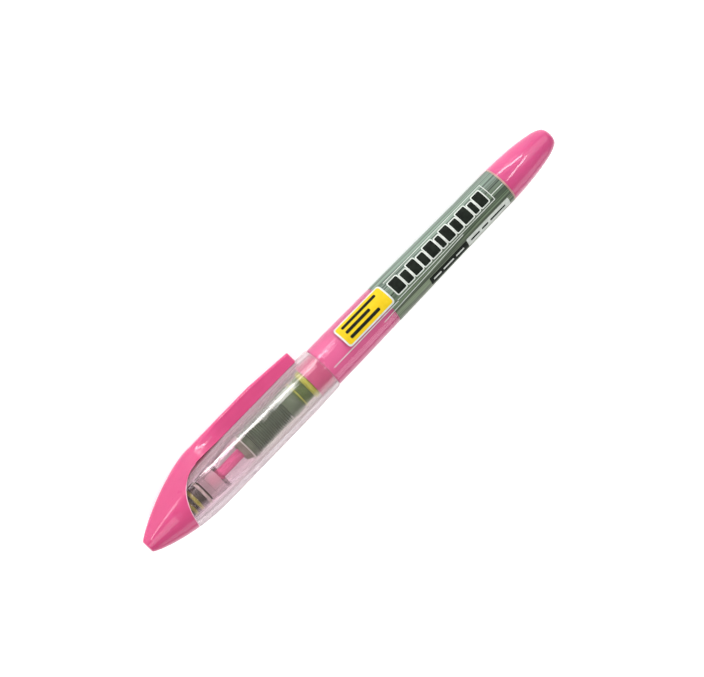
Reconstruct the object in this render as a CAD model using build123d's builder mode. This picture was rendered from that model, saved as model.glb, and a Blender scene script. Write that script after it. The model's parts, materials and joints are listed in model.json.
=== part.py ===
"""Capped liquid-ink highlighter with a pocket clip, as its separate moulded pieces.

The pen's axis is the X axis. x = 0 is the shoulder where the cap's mouth meets the
barrel, the nib points to -X and the end plug to +X. Every piece is drawn with the clip
straight up, at +Z, and is rolled about the axis when it is written, so that the pen lies
as it does on a table: on the cap's sleeve and on one long edge of the clip.
All sizes are in millimetres.
"""

import os
from math import asin, atan2, cos, degrees, hypot, radians, sin

from build123d import *

# ---------------------------------------------------------------- pen, from the shoulder back
BARREL_LENGTH = 62.8  # shoulder to the end plug's visible part
BARREL_R = 5.65  # widest band, behind the shoulder
BARREL_DRAFT = 0.65  # how much slimmer the rear is, in radius
BARREL_WALL = 0.95
BAND_LENGTH = 6.0  # bare cylindrical band behind the shoulder
TAPER_LENGTH = 33.0  # tapered stretch behind the band
FILM_THICKNESS = 0.1
FILM_MARGIN = 0.8  # bare barrel between the film and the plug
PLUG_LENGTH = 17.0
PLUG_SPIGOT = 6.5  # the plug's part inside the barrel
PLUG_WALL = 0.95
PLUG_CORE_LENGTH = 9.0  # hollow of the plug past the barrel's end
PLUG_OUTLINE = ((0.45, 0.9), (0.8, 0.705), (0.965, 0.44))  # shares of its own length and radius

# ---------------------------------------------------------------- pen, from the shoulder forward
SHOULDER_DEPTH = 0.9  # the section is this much slimmer than the band, in radius
SECTION_WALL = 0.75
SECTION_SPIGOT = 8.0  # the section's part inside the barrel
BORE_LEAD = 0.5  # past that spigot, before the tank's bore narrows
GRIP_LENGTH = 27.0  # straight stretch of the section
CONE_LENGTH = 14.0  # tapered stretch in front of it
FRONT_LIP = 0.45  # the section's front stands this far outside the nib holder
HOLDER_LENGTH = 6.1
HOLDER_WALL = 0.95
HOLDER_SPIGOT = 1.6
SPIGOT_WALL = 0.5  # of the nib holder's and the cap sleeve's spigots
BAND_WIDTH = 0.9  # each soft seal band round the nib holder
BAND_DEPTH = 0.5
BAND_PROUD = 0.06
NIB_R = 1.95
NIB_REACH = 6.4  # in front of the holder
NIB_TAIL = 4.5  # behind the section's front
CHISEL_THICKNESS = 1.3  # of the nib's writing edge
CHISEL_LENGTH = 5.2  # of the two flats behind it
CHISEL_SLOPE = 30.0  # degrees that the writing edge leans

# ---------------------------------------------------------------- ink feed, inside the section
SEAL_SETBACK = 5.3  # shoulder to the tank seal's rear face
SEAL_THICKNESS = 1.5
COLLAR_LENGTH = 3.4
COLLAR_RIB = 0.3
COLLECTOR_LENGTH = 16.5
COLLECTOR_GAP = 0.45  # between the fins and the section's bore
COLLECTOR_DRUM = 3.6  # plain stretch behind the fins
COLLECTOR_FLANGE = 1.5  # plain stretch in front of them
FIN_PITCH = 0.58
FIN_THICKNESS = 0.29
CORE_WALL = 0.93  # between the wick's bore and the fins' roots
VENT_WIDTH = 0.5  # the air channel along the fins
GUIDE_LENGTH = 1.8
FUNNEL_DEPTH = 1.0  # where the section's bore narrows to the nib
WICK_R = 1.3
WICK_TAIL = 4.0  # behind the shoulder, in the ink

# ---------------------------------------------------------------- cap
SLEEVE_WALL = 0.95
SLEEVE_SWELL = 0.25  # the sleeve's radius grows this much from its mouth
SWELL_LENGTH = 8.0
SNAP_SETBACK = 3.6  # shoulder to the middle of the snap bead
SNAP_HEIGHT = 0.13
SNAP_WIDTH = 1.0
NOSE_LENGTH = 22.0
NOSE_MARGIN = 6.5  # the nose reaches this far past the nib
NOSE_TIP_R = 1.4
NOSE_TIP_RISE = 0.5  # the blunt tip is this much taller above the axis
NOSE_TIP_ROUND = 0.5
NOSE_RIDGE_R = 1.1  # the ridge's radius at the tip
NOSE_STATIONS = (0, 0.05, 0.16, 0.34, 0.55, 0.78, 1)  # shares of the nose's length
WINDOW_LENGTH = 10.0  # the clear sleeve runs this far into the nose, underneath
WINDOW_EDGE = 0.35  # how far under the sleeve's top the window's edge meets the clip
SLEEVE_SPIGOT = 1.5  # the sleeve's spigot, past the window's front
INNER_CAP_WALL = 0.4
INNER_CAP_END = 0.6
INNER_CONE_SLOPE = 2.0  # length of the inner cap's cone for each unit of radius
NIB_ROOM = 0.3  # between the nib and the inner cap, all round and in front

# ---------------------------------------------------------------- clip
CLIP_SETBACK = 3.5  # shoulder to the clip's free end
CLIP_WIDTH = 4.6
CLIP_DEPTH = 3.25
CLIP_GAP = 0.3  # between the clip and the sleeve
CLIP_ROUND = 1.0  # long outer edges
CLIP_END_ROUND = 0.35
CLIP_SLOPE_LENGTH = 12.5  # the outer side falls towards the free end
CLIP_SLOPE_DROP = 0.75
CLIP_WALL = 0.8
CLIP_CORE_DEPTH = 2.1
CLIP_BUMP = 0.18
CLIP_BUMP_WIDTH = 4.0

# ---------------------------------------------------------------- clearances, all radial
PRESS = 0.02  # pieces pressed or glued together
SLIDE = 0.2  # the cap's sleeve over the section
SEAL = 0.12  # the inner cap over the nib holder
SPIN = 0.06  # the inner cap in the nose
FLEX = 0.1  # the clip's root in the nose
INNER_CAP_GAP = 0.2  # the inner cap in the sleeve's spigot
RIM_GAP = 0.5  # the section's front face to the inner cap's rim
MOUTH_GAP = 0.2  # the cap's mouth to the shoulder
INK_GAP = 0.03

# ---------------------------------------------------------------- sizes that follow
barrel_rear_r = BARREL_R - BARREL_DRAFT
bore_front_r = BARREL_R - BARREL_WALL
bore_rear_r = barrel_rear_r - BARREL_WALL
film_seat = FILM_THICKNESS + PRESS
taper_end_x = BAND_LENGTH + TAPER_LENGTH
film_end_x = BARREL_LENGTH - FILM_MARGIN
plug_front_x = BARREL_LENGTH - PLUG_SPIGOT
rear_x = BARREL_LENGTH + PLUG_LENGTH

section_r = BARREL_R - SHOULDER_DEPTH
section_bore_r = section_r - SECTION_WALL
section_front_x = -(GRIP_LENGTH + CONE_LENGTH)
holder_r = NIB_R + HOLDER_WALL
section_front_r = holder_r + FRONT_LIP
holder_front_x = section_front_x - HOLDER_LENGTH
nib_tip_x = holder_front_x - NIB_REACH
nib_rear_x = section_front_x + NIB_TAIL
holder_spigot_r = NIB_R + SPIGOT_WALL

seal_rear_x = -SEAL_SETBACK
seal_front_x = seal_rear_x - SEAL_THICKNESS
collar_front_x = seal_front_x - COLLAR_LENGTH
collector_front_x = collar_front_x - COLLECTOR_LENGTH
collector_r = section_bore_r - COLLECTOR_GAP
collar_r = collector_r - COLLAR_RIB
wick_bore_r = WICK_R + PRESS
collector_core_r = wick_bore_r + CORE_WALL

mouth_x = -MOUTH_GAP
sleeve_bore_r = section_r + SLIDE
mouth_r = sleeve_bore_r + SLEEVE_WALL
sleeve_r = mouth_r + SLEEVE_SWELL
cap_tip_x = nib_tip_x - NOSE_MARGIN
cap_length = mouth_x - cap_tip_x
nose_root_x = cap_tip_x + NOSE_LENGTH
window_front_x = nose_root_x - WINDOW_LENGTH
window_top_z = sleeve_r - WINDOW_EDGE
spigot_front_x = window_front_x - SLEEVE_SPIGOT
inner_bore_r = holder_r + SEAL
inner_cap_r = inner_bore_r + INNER_CAP_WALL
inner_tip_bore_r = NIB_R + NIB_ROOM
inner_tip_r = inner_tip_bore_r + INNER_CAP_WALL
inner_rim_x = section_front_x - RIM_GAP
inner_end_x = nib_tip_x - NIB_ROOM
spigot_bore_r = inner_cap_r + INNER_CAP_GAP
spigot_r = spigot_bore_r + SPIGOT_WALL

clip_under_z = sleeve_r + CLIP_GAP
clip_top_z = clip_under_z + CLIP_DEPTH
clip_end_x = -CLIP_SETBACK
pivot_z = clip_under_z + CLIP_DEPTH / 2


def rest_roll():
    """Degrees about +X that bring the clip's rounded outer edge down to the table."""
    edge_y, edge_z = CLIP_WIDTH / 2 - CLIP_ROUND, clip_top_z - CLIP_ROUND
    reach = hypot(edge_y, edge_z)
    below_level = degrees(asin((sleeve_r - CLIP_ROUND) / reach) - atan2(edge_y, edge_z))
    return -(90 + below_level)


def under_r(x):
    """Radius of the nose and the sleeve under the axis, from the nose's root to its tip."""
    u = max(0.0, min(1.0, (nose_root_x - x) / NOSE_LENGTH))
    return NOSE_TIP_R + (sleeve_r - NOSE_TIP_R) * (1 - u**2) ** 0.86


def ridge_z(x):
    """Height of the nose's ridge over the axis, from its root to its tip."""
    u = (nose_root_x - x) / NOSE_LENGTH
    tip_z = NOSE_TIP_R + NOSE_TIP_RISE
    return tip_z + (clip_top_z - tip_z) * (1 - u**1.45) ** 0.88


def turned(*points):
    """Revolves the closed outline through (x, radius) points about the pen's axis."""
    with BuildSketch(Plane.XZ) as outline:
        with BuildLine():
            Polyline(*points, close=True)
        make_face()
    revolve(outline.sketch, axis=Axis.X)


# ================================================================ pen
def make_barrel_tube():
    """Clear ink tank, recessed where the printed film sits."""
    with BuildPart() as barrel_tube:
        turned(
            (0, bore_front_r),
            (0, BARREL_R),
            (BAND_LENGTH, BARREL_R),
            (BAND_LENGTH, BARREL_R - film_seat),
            (taper_end_x, barrel_rear_r - film_seat),
            (film_end_x, barrel_rear_r - film_seat),
            (film_end_x, barrel_rear_r),
            (BARREL_LENGTH, barrel_rear_r),
            (BARREL_LENGTH, bore_rear_r),
            (taper_end_x, bore_rear_r),
            (SECTION_SPIGOT + BORE_LEAD, bore_front_r),
        )
        shoulder = barrel_tube.edges().filter_by(GeomType.CIRCLE).group_by(Axis.X)[0]
        chamfer(shoulder.sort_by(SortBy.RADIUS)[-1], SHOULDER_DEPTH / 4)
    return barrel_tube


def make_label_film():
    """Thin printed film, flush with the band in front of it."""
    front_x = BAND_LENGTH + PRESS
    end_x = film_end_x - PRESS
    with BuildPart() as label_film:
        turned(
            (front_x, BARREL_R - FILM_THICKNESS),
            (front_x, BARREL_R),
            (taper_end_x, barrel_rear_r),
            (end_x, barrel_rear_r),
            (end_x, barrel_rear_r - FILM_THICKNESS),
            (taper_end_x, barrel_rear_r - FILM_THICKNESS),
        )
    return label_film


def make_end_plug():
    """Bullet-shaped rear plug with a hollow spigot."""
    spigot_r_outer = bore_rear_r - PRESS
    core_r = bore_rear_r - PLUG_WALL
    core_end_x = BARREL_LENGTH + PLUG_CORE_LENGTH
    bullet = [
        (BARREL_LENGTH + along * PLUG_LENGTH, out * barrel_rear_r) for along, out in PLUG_OUTLINE
    ]
    with BuildPart() as end_plug:
        with BuildSketch(Plane.XZ):
            with BuildLine():
                Spline(
                    (BARREL_LENGTH, barrel_rear_r),
                    *bullet,
                    (rear_x, 0),
                    tangents=((1, -0.06), (0, -1)),
                )
                Polyline(
                    (rear_x, 0),
                    (core_end_x + core_r, 0),
                    (core_end_x, core_r),
                    (plug_front_x, core_r),
                    (plug_front_x, spigot_r_outer),
                    (BARREL_LENGTH, spigot_r_outer),
                    (BARREL_LENGTH, barrel_rear_r),
                )
            make_face()
        revolve(axis=Axis.X)
    return end_plug


def make_front_section():
    """Clear front section: holds the feed, and the cap's sleeve slides over it."""
    nib_bore_r = NIB_R + PRESS
    funnel_x = collector_front_x - GUIDE_LENGTH - PRESS
    spigot_floor_x = section_front_x + HOLDER_SPIGOT + PRESS
    groove_r = section_r - SNAP_HEIGHT
    with BuildPart() as front_section:
        turned(
            (SECTION_SPIGOT, section_bore_r),
            (SECTION_SPIGOT, bore_front_r - PRESS),
            (0, bore_front_r - PRESS),
            (0, section_r),
            (-SNAP_SETBACK + SNAP_WIDTH, section_r),
            (-SNAP_SETBACK + SNAP_WIDTH / 2, groove_r),
            (-SNAP_SETBACK - SNAP_WIDTH / 2, groove_r),
            (-SNAP_SETBACK - SNAP_WIDTH, section_r),
            (-GRIP_LENGTH, section_r),
            (section_front_x, section_front_r),
            (section_front_x, holder_spigot_r + PRESS),
            (spigot_floor_x, holder_spigot_r + PRESS),
            (spigot_floor_x, nib_bore_r),
            (nib_rear_x, nib_bore_r),
            (nib_rear_x + FUNNEL_DEPTH, nib_bore_r + FUNNEL_DEPTH),
            (funnel_x, section_bore_r),
        )
    return front_section


def make_nib_holder():
    """Collar round the nib, with a groove for each soft band."""
    front_band_x, rear_band_x = band_places()
    floor_r = holder_r - BAND_DEPTH
    with BuildPart() as nib_holder:
        turned(
            (holder_front_x, NIB_R + PRESS),
            (holder_front_x, holder_r),
            (front_band_x, holder_r),
            (front_band_x, floor_r),
            (front_band_x + BAND_WIDTH, floor_r),
            (front_band_x + BAND_WIDTH, holder_r),
            (rear_band_x, holder_r),
            (rear_band_x, floor_r),
            (rear_band_x + BAND_WIDTH, floor_r),
            (rear_band_x + BAND_WIDTH, holder_r),
            (section_front_x, holder_r),
            (section_front_x, holder_spigot_r),
            (section_front_x + HOLDER_SPIGOT, holder_spigot_r),
            (section_front_x + HOLDER_SPIGOT, NIB_R + PRESS),
        )
        rim = nib_holder.edges().filter_by(GeomType.CIRCLE).group_by(Axis.X)[0]
        chamfer(rim.sort_by(SortBy.RADIUS)[-1], HOLDER_WALL / 4)
    return nib_holder


def band_places():
    """Front edge of each of the two bands on the nib holder."""
    front_x = holder_front_x + BAND_WIDTH / 2
    return front_x, front_x + 2 * BAND_WIDTH


def make_seal_bands():
    """The two soft bands that the inner cap closes on."""
    inside_r = holder_r - BAND_DEPTH + PRESS
    outside_r = holder_r + BAND_PROUD
    with BuildPart() as seal_bands:
        for x in band_places():
            turned(
                (x + PRESS, inside_r),
                (x + PRESS, outside_r),
                (x + BAND_WIDTH - PRESS, outside_r),
                (x + BAND_WIDTH - PRESS, inside_r),
            )
    return seal_bands


def make_nib():
    """Chisel nib: a felt rod with two flats and a leaning writing edge."""
    lean = 2 * NIB_R * sin(radians(CHISEL_SLOPE))
    side_x = nib_tip_x + CHISEL_LENGTH
    with BuildPart() as nib:
        turned((nib_tip_x, 0), (nib_tip_x, NIB_R), (nib_rear_x, NIB_R), (nib_rear_x, 0))
        for side in (-1, 1):
            with BuildSketch(Plane.XY):
                with BuildLine():
                    Polyline(
                        (nib_tip_x - 1, side * CHISEL_THICKNESS / 2),
                        (nib_tip_x + 1, side * CHISEL_THICKNESS / 2),
                        (side_x, side * NIB_R),
                        (side_x, side * 2 * NIB_R),
                        (nib_tip_x - 1, side * 2 * NIB_R),
                        close=True,
                    )
                make_face()
            extrude(amount=2 * NIB_R, both=True, mode=Mode.SUBTRACT)
        with BuildSketch(Plane.XZ):
            with BuildLine():
                Polyline(
                    (nib_tip_x - 1, -NIB_R - 1),
                    (nib_tip_x, -NIB_R),
                    (nib_tip_x + lean, NIB_R),
                    (nib_tip_x + lean, NIB_R + 1),
                    (nib_tip_x - 1, NIB_R + 1),
                    close=True,
                )
            make_face()
        extrude(amount=2 * NIB_R, both=True, mode=Mode.SUBTRACT)
    return nib


def make_wick():
    """Fibre rod that carries ink from the tank through the feed to the nib."""
    with BuildPart() as wick:
        with BuildSketch(Plane.YZ.offset(WICK_TAIL)):
            Circle(WICK_R)
        extrude(amount=nib_rear_x + PRESS - WICK_TAIL)
    return wick


def make_wick_guide():
    """Tapered ring that centres the wick in front of the collector."""
    front_x = collector_front_x - GUIDE_LENGTH
    with BuildPart() as wick_guide:
        turned(
            (collector_front_x - PRESS, wick_bore_r),
            (collector_front_x - PRESS, collector_r - COLLAR_RIB),
            (front_x, collector_r - COLLAR_RIB - GUIDE_LENGTH / 2),
            (front_x, wick_bore_r),
        )
    return wick_guide


def make_collector():
    """Finned feed: thin discs on a core, with one air channel along them."""
    fins_front_x = collector_front_x + COLLECTOR_FLANGE
    fins_rear_x = collar_front_x - COLLECTOR_DRUM
    fin_count = int((fins_rear_x - fins_front_x) / FIN_PITCH)
    fin_planes = [Plane.YZ.offset(fins_front_x + (i + 1) * FIN_PITCH) for i in range(fin_count)]
    with BuildPart() as collector:
        with BuildSketch(Plane.YZ.offset(collector_front_x)):
            Circle(collector_core_r)
        extrude(amount=COLLECTOR_LENGTH)
        with BuildSketch(Plane.YZ.offset(collector_front_x)):
            Circle(collector_r)
        extrude(amount=COLLECTOR_FLANGE)
        with BuildSketch(Plane.YZ.offset(fins_rear_x)):
            Circle(collector_r)
        extrude(amount=COLLECTOR_DRUM)
        with BuildSketch(*fin_planes):
            Circle(collector_r)
        extrude(amount=-FIN_THICKNESS)
        channel = Plane.XY.offset(collector_core_r)
        with BuildSketch(channel):
            with Locations(((collector_front_x + fins_rear_x) / 2, 0)):
                Rectangle(fins_rear_x - collector_front_x, VENT_WIDTH)
        extrude(amount=collector_r, mode=Mode.SUBTRACT)
        with BuildSketch(Plane.YZ.offset(collector_front_x)):
            Circle(wick_bore_r)
        extrude(amount=COLLECTOR_LENGTH, mode=Mode.SUBTRACT)
    return collector


def make_feed_collar():
    """Collar between the collector and the tank seal, with one fine rib."""
    rib_x = collar_front_x + 2 * COLLAR_RIB
    with BuildPart() as feed_collar:
        turned(
            (collar_front_x + PRESS, wick_bore_r),
            (collar_front_x + PRESS, collar_r),
            (rib_x, collar_r),
            (rib_x, collector_r),
            (rib_x + COLLAR_RIB, collector_r),
            (rib_x + COLLAR_RIB, collar_r),
            (seal_front_x - PRESS, collar_r),
            (seal_front_x - PRESS, wick_bore_r),
        )
    return feed_collar


def make_tank_seal():
    """Flanged seal that closes the ink tank round the wick."""
    flange_r = section_bore_r - PRESS
    lead = SEAL_THICKNESS / 4
    with BuildPart() as tank_seal:
        turned(
            (seal_front_x, wick_bore_r),
            (seal_front_x, flange_r - lead),
            (seal_front_x + lead, flange_r),
            (seal_rear_x - lead, flange_r),
            (seal_rear_x, flange_r - lead),
            (seal_rear_x, wick_bore_r),
        )
    return tank_seal


def make_ink_charge():
    """The liquid ink, as the solid that fills the tank round the wick's tail."""
    spigot_ink_r = section_bore_r - INK_GAP
    step_x = SECTION_SPIGOT + INK_GAP
    tail_x = WICK_TAIL + INK_GAP
    with BuildPart() as ink_charge:
        turned(
            (seal_rear_x + INK_GAP, wick_bore_r),
            (seal_rear_x + INK_GAP, spigot_ink_r),
            (step_x, spigot_ink_r),
            (step_x, bore_rear_r - INK_GAP),
            (step_x + BORE_LEAD, bore_front_r - INK_GAP - PRESS),
            (taper_end_x, bore_rear_r - INK_GAP),
            (plug_front_x - INK_GAP, bore_rear_r - INK_GAP),
            (plug_front_x - INK_GAP, 0),
            (tail_x, 0),
            (tail_x, wick_bore_r),
        )
    return ink_charge


# ================================================================ cap
def sleeve_outline():
    """(x, radius) points of the sleeve's outside along the window, from its front to the root."""
    steps = 6
    places = [window_front_x + i * WINDOW_LENGTH / steps for i in range(steps + 1)]
    return [(x, under_r(x)) for x in places]


def make_sleeve_solid():
    """The sleeve's outer shape with no bore: window, tube and spigot."""
    window = sleeve_outline()
    with BuildPart() as sleeve_solid:
        with BuildSketch(Plane.XZ):
            with BuildLine():
                Spline(*window, tangents=((1, 0.25), (1, 0)))
                Polyline(
                    window[-1],
                    (mouth_x - SWELL_LENGTH, sleeve_r),
                    (mouth_x, mouth_r),
                    (mouth_x, 0),
                    (window_front_x, 0),
                    window[0],
                )
            make_face()
        revolve(axis=Axis.X)
        with BuildSketch(Plane.XZ):
            with Locations((nose_root_x, -window_top_z)):
                Ellipse(WINDOW_LENGTH, 2 * window_top_z)
            with Locations((nose_root_x + cap_length / 2, 0)):
                Rectangle(cap_length, cap_length)
        extrude(amount=cap_length, both=True, mode=Mode.INTERSECT)
        with BuildSketch(Plane.YZ.offset(spigot_front_x)):
            Circle(spigot_r)
        extrude(amount=nose_root_x - spigot_front_x)
    return sleeve_solid


def make_cap_sleeve(sleeve_solid):
    """Clear sleeve of the cap, bored to pass the section and, narrower, the inner cap."""
    wall = sleeve_r - sleeve_bore_r
    step_x = window_front_x + wall
    window_bore = [(x, r - wall) for x, r in sleeve_outline() if x > step_x]
    bead_r = sleeve_bore_r - SNAP_HEIGHT
    with BuildPart() as cap_sleeve:
        add(sleeve_solid.part)
        with BuildSketch(Plane.XZ):
            with BuildLine():
                Polyline(
                    (spigot_front_x - 1, 0),
                    (spigot_front_x - 1, spigot_bore_r),
                    (step_x, spigot_bore_r),
                    (step_x, under_r(step_x) - wall),
                )
                Spline((step_x, under_r(step_x) - wall), *window_bore)
                Polyline(
                    (nose_root_x, sleeve_bore_r),
                    (-SNAP_SETBACK - SNAP_WIDTH / 2, sleeve_bore_r),
                    (-SNAP_SETBACK, bead_r),
                    (-SNAP_SETBACK + SNAP_WIDTH / 2, sleeve_bore_r),
                    (1, sleeve_bore_r),
                    (1, 0),
                    (spigot_front_x - 1, 0),
                )
            make_face()
        revolve(axis=Axis.X, mode=Mode.SUBTRACT)
        mouth = cap_sleeve.edges().filter_by(GeomType.CIRCLE).group_by(Axis.X)[-1]
        fillet(mouth.sort_by(SortBy.RADIUS)[-1], SLEEVE_WALL / 3)
    return cap_sleeve


def inner_cap_outline(grow):
    """(x, radius) points of the inner cap's outside, grown by a clearance."""
    cone_rear_x = holder_front_x - NIB_ROOM
    cone_front_x = cone_rear_x - (inner_cap_r - inner_tip_r) * INNER_CONE_SLOPE
    end_x = inner_end_x - INNER_CAP_END - grow
    return [
        (end_x, 0),
        (end_x, inner_tip_r + grow),
        (cone_front_x, inner_tip_r + grow),
        (cone_rear_x, inner_cap_r + grow),
        (inner_rim_x, inner_cap_r + grow),
        (inner_rim_x, 0),
    ]


def make_inner_cap():
    """Thin cup in the nose that closes round the nib holder and keeps the nib wet."""
    cone_rear_x = holder_front_x - NIB_ROOM
    cone_front_x = cone_rear_x - (inner_cap_r - inner_tip_r) * INNER_CONE_SLOPE
    with BuildPart() as inner_cap:
        turned(*inner_cap_outline(0))
        with BuildSketch(Plane.XZ):
            with BuildLine():
                Polyline(
                    (inner_end_x, 0),
                    (inner_end_x, inner_tip_bore_r),
                    (cone_front_x, inner_tip_bore_r),
                    (cone_rear_x, inner_bore_r),
                    (inner_rim_x + 1, inner_bore_r),
                    (inner_rim_x + 1, 0),
                    close=True,
                )
            make_face()
        revolve(axis=Axis.X, mode=Mode.SUBTRACT)
    return inner_cap


def nose_section(x):
    """Pear-shaped cross-section: a circle under the axis, drawn up to a narrower ridge."""
    low_r, top_z = under_r(x), ridge_z(x)
    share = (low_r - NOSE_TIP_R) / (sleeve_r - NOSE_TIP_R)
    ridge_r = NOSE_RIDGE_R + (CLIP_WIDTH / 2 - NOSE_RIDGE_R) * share
    ridge_centre = top_z - ridge_r
    slope = degrees(asin((low_r - ridge_r) / ridge_centre))
    with BuildSketch(Plane.YZ.offset(x)) as section:
        with BuildLine():
            belly = CenterArc((0, 0), low_r, 180 - slope, 180 + 2 * slope)
            ridge = CenterArc((0, ridge_centre), ridge_r, slope, 180 - 2 * slope)
            Line(belly @ 1, ridge @ 0)
            Line(ridge @ 1, belly @ 0)
        make_face()
    return section


def make_cap_nose(sleeve_solid):
    """Opaque nose of the cap, scooped out for the sleeve, with a socket for the clip."""
    sections = [nose_section(cap_tip_x + NOSE_LENGTH * share).sketch for share in NOSE_STATIONS]
    with BuildPart() as cap_nose:
        loft(sections)
        tip = cap_nose.faces().sort_by(Axis.X)[0]
        fillet(tip.edges(), NOSE_TIP_ROUND)
        with BuildSketch(Plane.XZ):
            with Locations((nose_root_x, -window_top_z)):
                Ellipse(WINDOW_LENGTH, 2 * window_top_z)
            with Locations((nose_root_x, window_top_z)):
                Rectangle(cap_length, cap_length, align=(Align.MIN, Align.MAX))
        extrude(amount=cap_length, both=True, mode=Mode.SUBTRACT)
        add(sleeve_solid.part, mode=Mode.SUBTRACT)
        with BuildSketch(Plane.XZ):
            with BuildLine():
                Polyline(*inner_cap_outline(SPIN), close=True)
            make_face()
        revolve(axis=Axis.X, mode=Mode.SUBTRACT)
        with BuildSketch(Plane.XZ):
            with Locations((nose_root_x, pivot_z)):
                Circle(CLIP_DEPTH / 2 + FLEX)
        extrude(amount=CLIP_WIDTH, both=True, mode=Mode.SUBTRACT)
    return cap_nose


def make_cap_clip():
    """Pocket clip: a cored bar with a round root, a falling end and a bump inside it."""
    root_r = CLIP_DEPTH / 2
    end_z = clip_top_z - CLIP_SLOPE_DROP
    bump_x = clip_end_x - 1 - CLIP_BUMP_WIDTH / 2
    core_start_x = nose_root_x + 2 * root_r
    core_end_x = bump_x - CLIP_BUMP_WIDTH / 2 - 1
    with BuildPart() as cap_clip:
        with BuildSketch(Plane.XZ):
            with BuildLine():
                root = CenterArc((nose_root_x, pivot_z), root_r, 90, 180)
                bump = ThreePointArc(
                    (bump_x - CLIP_BUMP_WIDTH / 2, clip_under_z),
                    (bump_x, clip_under_z - CLIP_BUMP),
                    (bump_x + CLIP_BUMP_WIDTH / 2, clip_under_z),
                )
                Line(root @ 1, bump @ 0)
                Polyline(
                    bump @ 1,
                    (clip_end_x, clip_under_z),
                    (clip_end_x, end_z),
                    (clip_end_x - CLIP_SLOPE_LENGTH, clip_top_z),
                    root @ 0,
                )
            make_face()
        extrude(amount=CLIP_WIDTH / 2, both=True)
        outer_faces = cap_clip.faces().filter_by(lambda f: f.normal_at().Z > 0.9)
        long_edges = outer_faces.edges().filter_by(lambda e: abs(e.tangent_at(0).X) > 0.9)
        fillet(long_edges, CLIP_ROUND)
        end_face = cap_clip.faces().sort_by(Axis.X)[-1]
        fillet(end_face.edges(), CLIP_END_ROUND)
        with BuildSketch(Plane.XY.offset(clip_under_z - 1)):
            with Locations(((core_start_x + core_end_x) / 2, 0)):
                Rectangle(core_end_x - core_start_x, CLIP_WIDTH - 2 * CLIP_WALL)
        extrude(amount=CLIP_CORE_DEPTH + 1, mode=Mode.SUBTRACT)
    return cap_clip


# ================================================================ writing
def main():
    sleeve_solid = make_sleeve_solid()
    pieces = {
        "barrel_tube": make_barrel_tube(),
        "label_film": make_label_film(),
        "end_plug": make_end_plug(),
        "front_section": make_front_section(),
        "nib_holder": make_nib_holder(),
        "seal_bands": make_seal_bands(),
        "nib": make_nib(),
        "wick": make_wick(),
        "wick_guide": make_wick_guide(),
        "collector": make_collector(),
        "feed_collar": make_feed_collar(),
        "tank_seal": make_tank_seal(),
        "ink_charge": make_ink_charge(),
        "cap_sleeve": make_cap_sleeve(sleeve_solid),
        "cap_nose": make_cap_nose(sleeve_solid),
        "inner_cap": make_inner_cap(),
        "cap_clip": make_cap_clip(),
    }
    os.makedirs("parts", exist_ok=True)
    roll = rest_roll()
    for name, piece in pieces.items():
        lying = piece.part.rotate(Axis.X, roll)
        lying.label = name
        export_step(lying, f"parts/{name}.step")
    print(f"rolled {roll:.4f} degrees; before it the clip turned at x {nose_root_x:.3f}, z {pivot_z:.3f}")


main()
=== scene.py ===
"""A capped liquid-ink highlighter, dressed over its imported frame.

Outlines are written in millimetres in the pen's own frame: x along the pen from the
shoulder, y towards the far side and z towards the clip. on_pen() turns them into metres
in the row frame, where the pen lies rolled on to its clip.
"""
import json
from math import asin, cos, pi, radians, sin, sqrt

import bmesh
import bpy
from mathutils import Matrix, Vector


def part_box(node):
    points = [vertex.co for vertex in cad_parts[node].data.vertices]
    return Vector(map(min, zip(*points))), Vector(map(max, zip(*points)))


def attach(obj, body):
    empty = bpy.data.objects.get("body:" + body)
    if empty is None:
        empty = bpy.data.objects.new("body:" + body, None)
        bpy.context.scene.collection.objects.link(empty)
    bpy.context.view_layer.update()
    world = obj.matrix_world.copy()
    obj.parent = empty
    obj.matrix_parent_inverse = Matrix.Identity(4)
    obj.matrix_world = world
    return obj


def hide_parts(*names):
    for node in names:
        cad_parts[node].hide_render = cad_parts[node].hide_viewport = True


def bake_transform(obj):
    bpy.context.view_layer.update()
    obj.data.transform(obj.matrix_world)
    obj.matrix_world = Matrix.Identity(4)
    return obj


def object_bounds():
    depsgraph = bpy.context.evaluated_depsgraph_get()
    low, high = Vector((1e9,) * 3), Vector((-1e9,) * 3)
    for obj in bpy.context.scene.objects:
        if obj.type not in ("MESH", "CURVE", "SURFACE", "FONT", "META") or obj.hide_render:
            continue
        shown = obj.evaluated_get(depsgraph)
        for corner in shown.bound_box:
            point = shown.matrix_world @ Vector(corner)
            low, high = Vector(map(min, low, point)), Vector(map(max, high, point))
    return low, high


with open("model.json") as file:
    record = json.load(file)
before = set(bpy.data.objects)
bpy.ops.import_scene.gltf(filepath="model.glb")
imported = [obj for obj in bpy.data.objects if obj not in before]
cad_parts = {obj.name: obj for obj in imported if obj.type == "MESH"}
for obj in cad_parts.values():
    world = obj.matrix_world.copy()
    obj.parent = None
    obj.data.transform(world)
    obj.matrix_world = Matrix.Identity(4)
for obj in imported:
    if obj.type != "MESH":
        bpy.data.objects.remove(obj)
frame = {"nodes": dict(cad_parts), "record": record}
cad_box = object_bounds()

# ---------------------------------------------------------------- frame
MM = 0.001
joints = {joint["name"]: joint for joint in frame["record"]["behaviour"]["joints"]}
clip_pivot = Vector(joints["clip_flex"]["pos_m"])
ALONG = Vector((1, 0, 0))
TO_CLIP = Vector((0, clip_pivot.y, clip_pivot.z)).normalized()
TO_FAR_SIDE = TO_CLIP.cross(ALONG)
TO_ROW = Matrix((ALONG, TO_FAR_SIDE, TO_CLIP)).transposed().to_4x4() @ Matrix.Scale(MM, 4)


def on_pen(x, y, z):
    """A point of the pen's own frame, in millimetres, as a place in the row frame."""
    return TO_ROW @ Vector((x, y, z))


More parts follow.
